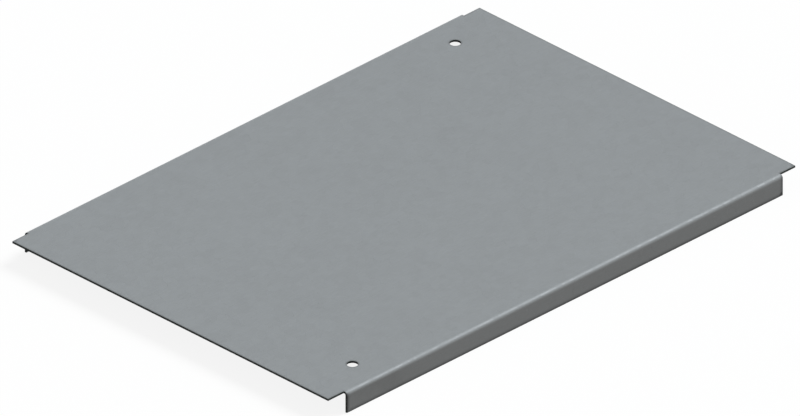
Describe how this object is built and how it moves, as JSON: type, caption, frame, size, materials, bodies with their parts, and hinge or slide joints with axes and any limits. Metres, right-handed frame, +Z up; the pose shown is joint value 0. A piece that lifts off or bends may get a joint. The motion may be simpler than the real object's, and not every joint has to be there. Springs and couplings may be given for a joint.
{
  "type": "gland plate",
  "caption": "Plain gland plate of folded zinc coated sheet, with a flange down along each long side, flat corner tabs and diagonal fixing holes.",
  "frame": {"origin": "centre of the plate's bounding rectangle, at the height of the lower edges of the two flanges", "axes": "+X along the long sides towards the short edge near which the rear hole lies, +Y towards the rear flange, +Z up out of the panel's top face"},
  "size_m": [0.7, 0.483, 0.0247],
  "materials": {
    "zinc_coated_sheet": "satin zinc coated rolled sheet, bare sheared edges"
  },
  "bodies": {
    "root": {"gland_plate": "zinc_coated_sheet"}
  },
  "joints": []
}
